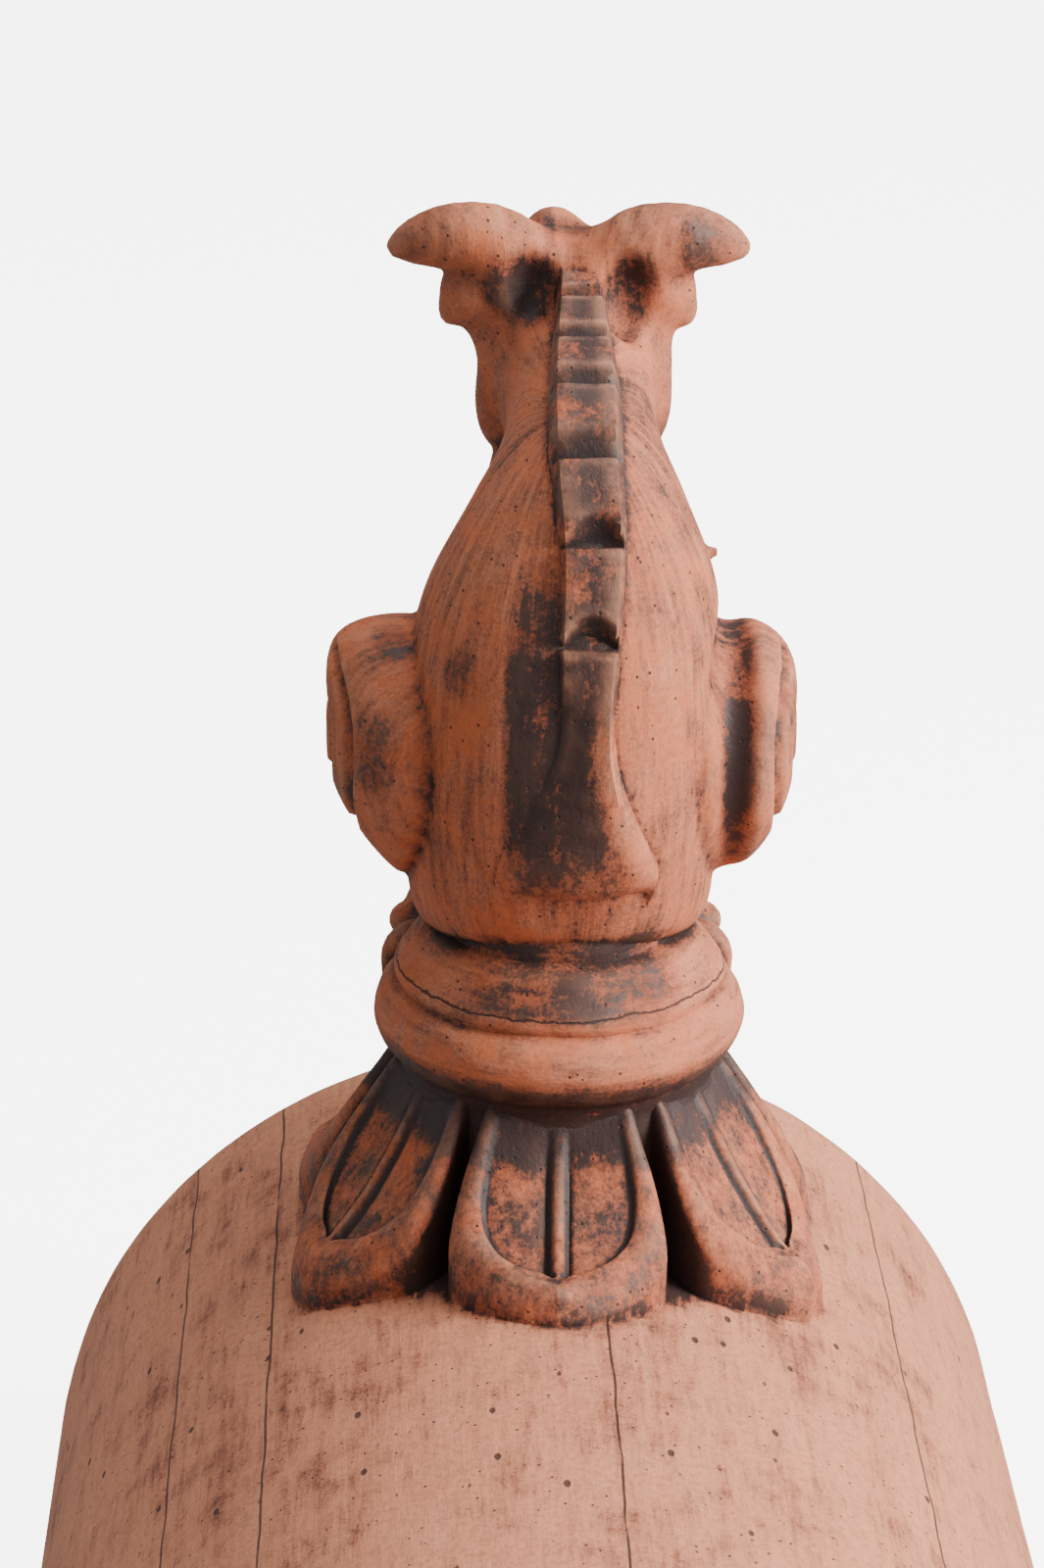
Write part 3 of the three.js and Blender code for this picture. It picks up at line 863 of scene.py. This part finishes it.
def describe_surface(mesh, forms):
    """Writes what the material needs at each vertex: soot together with painted shade of sheltered places,
    hollows and carved lines, wear, carved lines, brushing and cracks.
    """
    points = column(mesh, "co") / MM - AXIS
    normals = column(mesh, "normal")
    number, line = nearest_source(points, forms)
    start, end = edge_ends(mesh)
    hidden = spread(shelter(mesh, points, normals), start, end, 3)
    turn = bulge(points, normals, start, end)
    hollow = spread(np.clip(-turn * 3.5, 0, 1), start, end, 2)
    edge = spread(np.clip(turn * 3, 0, 1), start, end, 1)
    on_tile, on_core = number == TILE, number == CORE
    # Painted shade: places the clay shelters from view, and hollows that turn inward, are darkened on top of
    # the soot.
    soot_and_shade = 0.95 * smoothstep(0.22, 0.75, hidden) + 0.55 * hollow
    soot_and_shade += np.array(FILM)[number]
    soot_and_shade = np.where(on_tile, soot_and_shade, np.maximum(soot_and_shade, pedestal_soot_and_shade(points)))
    soot_and_shade = np.where((number == BODY) | (number == CREST), np.maximum(soot_and_shade, painted_soot(points)), soot_and_shade)
    soot_and_shade = np.where(number == CREST, np.maximum(soot_and_shade, crest_soot(points)), soot_and_shade)
    # Carved grooves and notch slopes darkened: soot with painted shade.
    soot_and_shade = np.maximum(soot_and_shade, line)
    store(mesh, "soot_and_shade", np.clip(soot_and_shade, 0, 1.2))
    store(mesh, "wear", np.clip(edge * (1 - hidden), 0, 1))
    store(mesh, "line", line)
    store(mesh, "tile", spread(on_tile.astype(float), start, end, 1))
    store(mesh, "grain", grain_lines(points, number))
    store(mesh, "crack", np.where(on_core, points[:, 2] - CRACK_HEIGHT, FAR_FROM_CRACK))


SHARP_DEGREES = 48

forms = {"tile": tile(), "core": turned_core(), "body": beast(), "crest": crest_skin()}
for seed, (azimuth, width) in enumerate(PETALS):
    forms[f"petal_{seed}"] = petal(azimuth, width, seed)

clay_piece = joined("ridge_beast_clay", forms)
clay_piece.data.polygons.foreach_set("use_smooth", [True] * len(clay_piece.data.polygons))
describe_surface(clay_piece.data, forms)
clay_piece.data.set_sharp_from_angle(angle=math.radians(SHARP_DEGREES))

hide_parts(NODE)
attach(clay_piece, "root")

# ---------------------------------------------------------------- the clay's look

ORANGE = (0.56, 0.135, 0.045)
PINK = (0.60, 0.195, 0.10)
TAN = (0.62, 0.235, 0.125)
BROWN = (0.17, 0.042, 0.020)
# Near black for soot, for painted shade in hollows, grooves and under the ring, and for pits and cracks.
SOOT_AND_SHADE = (0.021, 0.013, 0.013)
PALE = (0.70, 0.30, 0.17)


class Tree:
    """A material's node tree, built from short calls that each give back an output socket."""

    def __init__(self, name):
        self.material = bpy.data.materials.new(name)
        self.material.use_nodes = True
        self.nodes = self.material.node_tree.nodes
        self.links = self.material.node_tree.links
        self.shader = self.nodes["Principled BSDF"]

    def node(self, kind, inputs, **settings):
        made = self.nodes.new("ShaderNode" + kind)
        for key, value in settings.items():
            setattr(made, key, value)
        for key, value in inputs.items():
            self.put(made.inputs[key], value)
        return made

    def put(self, socket, value):
        if isinstance(value, bpy.types.NodeSocket):
            self.links.new(value, socket)
        else:
            socket.default_value = value

    def attribute(self, name, output="Fac"):
        return self.node("Attribute", {}, attribute_name=name).outputs[output]

    def math(self, operation, *values):
        inputs = dict(enumerate(values))
        return self.node("Math", inputs, operation=operation).outputs[0]

    def ease(self, value, low, high, start=0.0, stop=1.0):
        """The value carried from low..high to start..stop, eased at both ends."""
        inputs = {"Value": value, "From Min": low, "From Max": high, "To Min": start, "To Max": stop}
        return self.node("MapRange", inputs, interpolation_type="SMOOTHSTEP").outputs["Result"]

    def mix(self, share, a, b, blend="MIX"):
        made = self.node("Mix", {0: share}, data_type="RGBA", blend_type=blend)
        self.put(made.inputs[6], (*a, 1) if isinstance(a, tuple) else a)
        self.put(made.inputs[7], (*b, 1) if isinstance(b, tuple) else b)
        return made.outputs[2]

    def noise(self, place, size, detail=3.0, rough=0.55):
        """Noise about 0..1 with features of a size in the place's units."""
        inputs = {"Vector": place, "Scale": 1 / size, "Detail": detail, "Roughness": rough}
        return self.node("TexNoise", inputs).outputs[0]

    def cells(self, place, size, randomness=1.0):
        inputs = {"Vector": place, "Scale": 1 / size, "Randomness": randomness}
        return self.node("TexVoronoi", inputs)

    def scaled(self, place, factors):
        inputs = {0: place, 1: factors}
        return self.node("VectorMath", inputs, operation="MULTIPLY").outputs[0]

    def moved(self, place, offset):
        return self.node("VectorMath", {0: place, 1: offset}, operation="ADD").outputs[0]


def pinholes(tree, place, size, radius, share):
    """Small round pits scattered over a share of the surface: 1 in a pit."""
    cells = tree.cells(place, size)
    near = tree.ease(cells.outputs["Distance"], radius, radius * 0.55)
    lot = tree.node("SeparateColor", {0: cells.outputs["Color"]}).outputs[0]
    chosen = tree.math("LESS_THAN", lot, share)
    return tree.math("MULTIPLY", near, chosen)


def terracotta():
    tree = Tree("terracotta")
    place = tree.scaled(tree.node("TexCoord", {}).outputs["Object"], (1000, 1000, 1000))
    grain = tree.attribute("grain", "Vector")
    soot_and_shade, wear, line, tile_mask = (tree.attribute(name) for name in ("soot_and_shade", "wear", "line", "tile"))

    cloud = tree.noise(place, 48, 3)
    patch = tree.noise(tree.moved(place, (31, 7, 13)), 12, 6, 0.66)
    speck = tree.noise(place, 2.2, 3, 0.65)
    fine = tree.noise(tree.moved(place, (3, 17, 5)), 0.9, 2, 0.6)
    streak = tree.noise(grain, 2.4, 6, 0.7)
    broad = tree.noise(grain, 11, 3, 0.5)

    uneven = [(patch, 1.5), (streak, 1.3), (broad, 0.9), (cloud, 1.0), (speck, 0.8), (fine, 0.7)]
    amount = tree.math("MULTIPLY", soot_and_shade, 1.15)
    for pattern, share in uneven:
        amount = tree.math("MULTIPLY_ADD", tree.math("SUBTRACT", pattern, 0.5), share, amount)
    # The soot attribute also carries painted shade of sheltered places, hollows, carved lines and the ring's
    # underside, so the browning and blackening fall there too.
    dark = tree.ease(amount, 0.42, 0.8)
    stain_and_shade = tree.ease(amount, -0.1, 0.58)

    # Painted light: the clay is tinted from orange on the shaded left to pink on the right, which the key
    # light strikes; the cloud adds tone that varies at random.
    side = tree.node("SeparateXYZ", {0: place}).outputs[0]
    side_light_tint = tree.ease(side, -60, 60, 0.1, 0.75)
    pinkness_and_side_light = tree.math("ADD", side_light_tint, tree.ease(cloud, 0.35, 0.65, -0.25, 0.25))
    clay = tree.mix(pinkness_and_side_light, ORANGE, PINK)
    clay = tree.mix(tile_mask, clay, TAN)
    clay = tree.mix(tree.ease(patch, 0.4, 0.7, 0, 0.55), clay, PALE)
    clay = tree.mix(tree.ease(speck, 0.3, 0.6, 0.35, 0), clay, BROWN)
    clay = tree.mix(tree.math("MULTIPLY", stain_and_shade, 0.8), clay, BROWN)
    clay = tree.mix(tree.math("MULTIPLY", dark, 0.93), clay, SOOT_AND_SHADE)
    rubbed = tree.math("MULTIPLY", wear, tree.ease(patch, 0.35, 0.6))
    clay = tree.mix(tree.math("MULTIPLY", rubbed, 0.8), clay, PALE)
    # Carved grooves and notch slopes darkened once more: soot with painted shade.
    clay = tree.mix(tree.math("MULTIPLY", line, 0.75), clay, SOOT_AND_SHADE)

    holes = pinholes(tree, place, 3.6, 0.15, 0.5)
    stretched = tree.scaled(place, (1, 0.55, 1))
    tile_holes = tree.math("MULTIPLY", pinholes(tree, stretched, 9, 0.13, 0.5), tile_mask)
    pits = tree.math("MAXIMUM", holes, tile_holes)
    crack_wave = tree.math("MULTIPLY_ADD", tree.noise(place, 9, 4, 0.7), 3.4, tree.attribute("crack"))
    crack = tree.ease(tree.math("ABSOLUTE", tree.math("SUBTRACT", crack_wave, 1.7)), 0.42, 0.12)
    crack = tree.math("MULTIPLY", crack, tree.ease(cloud, 0.32, 0.44))
    seams = tile_seams(tree, place)
    marks = tree.math("MAXIMUM", tree.math("MAXIMUM", pits, crack), tree.math("MULTIPLY", seams, tile_mask))
    clay = tree.mix(tree.math("MULTIPLY", marks, 0.88), clay, SOOT_AND_SHADE)

    tree.put(tree.shader.inputs["Base Color"], clay)
    gloss = tree.math("MULTIPLY_ADD", dark, -0.24, tree.math("MULTIPLY_ADD", speck, 0.25, 0.68))
    tree.put(tree.shader.inputs["Roughness"], gloss)
    tree.shader.inputs["Specular IOR Level"].default_value = 0.4
    height = tree.math("MULTIPLY_ADD", speck, 0.5, tree.math("MULTIPLY", streak, 0.8))
    height = tree.math("MULTIPLY_ADD", patch, 0.9, height)
    height = tree.math("MULTIPLY_ADD", marks, -1.8, height)
    bump = tree.node("Bump", {"Height": height, "Strength": 0.55, "Distance": 0.0007})
    tree.put(tree.shader.inputs["Normal"], bump.outputs["Normal"])
    return tree.material


SEAMS = (-44.0, -31.0, 6.0, 43.0)
SEAM_WIDTH = 0.3


def tile_seams(tree, place):
    """Hairlines that run along the tile at a few angles from its crown."""
    parts = tree.node("SeparateXYZ", {0: place}).outputs
    angle = tree.math("ARCTAN2", parts[0], parts[2])
    arc = tree.math("MULTIPLY", angle, RADIUS)
    sway = tree.noise(tree.scaled(place, (0.02, 1, 0.02)), 34, 2)
    arc = tree.math("MULTIPLY_ADD", sway, 3.0, arc)
    seams = None
    for degrees in SEAMS:
        off = tree.math("ABSOLUTE", tree.math("SUBTRACT", arc, math.radians(degrees) * RADIUS + 1.5))
        seam = tree.ease(off, SEAM_WIDTH * 1.8, SEAM_WIDTH * 0.4)
        seams = seam if seams is None else tree.math("MAXIMUM", seams, seam)
    broken = tree.ease(tree.noise(tree.scaled(place, (1, 0.3, 1)), 7, 3), 0.3, 0.5, 0.35, 1)
    return tree.math("MULTIPLY", seams, broken)


clay_piece.data.materials.clear()
clay_piece.data.materials.append(terracotta())

# ---------------------------------------------------------------- stage, light and camera

FLOOR_SIZE = 6.0


def floor():
    """A pale floor, lit evenly as a bright room would, that does not throw that light back up."""
    mesh = bpy.data.meshes.new("floor")
    half = FLOOR_SIZE / 2
    corners = [(-half, -half, 0), (half, -half, 0), (half, half, 0), (-half, half, 0)]
    mesh.from_pydata(corners, [], [(0, 1, 2, 3)])
    obj = bpy.data.objects.new("floor", mesh)
    bpy.context.scene.collection.objects.link(obj)
    material = bpy.data.materials.new("floor")
    material.use_nodes = True
    shader = material.node_tree.nodes["Principled BSDF"]
    shader.inputs["Base Color"].default_value = (0.86, 0.85, 0.83, 1)
    shader.inputs["Roughness"].default_value = 0.7
    shader.inputs["Emission Color"].default_value = (1, 0.99, 0.98, 1)
    shader.inputs["Emission Strength"].default_value = 5.6
    mesh.materials.append(material)
    obj.visible_diffuse = False
    obj.visible_glossy = False


def area_light(name, place, aim, size, power, colour):
    light = bpy.data.lights.new(name, "AREA")
    light.shape = "DISK"
    light.size = size
    light.energy = power
    light.color = colour
    obj = bpy.data.objects.new(name, light)
    obj.location = place
    obj.rotation_euler = (Vector(aim) - Vector(place)).to_track_quat("-Z", "Y").to_euler()
    bpy.context.scene.collection.objects.link(obj)


def studio():
    floor()
    world = bpy.data.worlds.new("studio")
    world.use_nodes = True
    sky = world.node_tree.nodes["Background"]
    sky.inputs["Color"].default_value = (0.95, 0.97, 1, 1)
    sky.inputs["Strength"].default_value = 0.5
    bpy.context.scene.world = world
    area_light("key", (1.7, -0.5, 1.1), (0, 0.05, 0.2), 1.0, 98, (1, 0.98, 0.96))
    area_light("top", (0.3, 0.2, 2.2), (0, 0.05, 0.2), 1.4, 22, (0.97, 0.98, 1))


def camera():
    data = bpy.data.cameras.new("camera")
    data.sensor_fit = "AUTO"
    data.sensor_width = 36
    data.lens = 99
    data.clip_start = 0.05
    obj = bpy.data.objects.new("camera", data)
    forward = Vector((0.02692703, 0.92970111, -0.36732926)).normalized()
    up = Vector((0.00016656, 0.36745833, 0.93003997))
    right = forward.cross(up).normalized()
    up = right.cross(forward)
    obj.matrix_world = Matrix.Translation(Vector((-0.03925, -1.04605, 0.71417))) @ Matrix(
        (right, up, -forward)
    ).transposed().to_4x4()
    bpy.context.scene.collection.objects.link(obj)
    bpy.context.scene.camera = obj


studio()
camera()
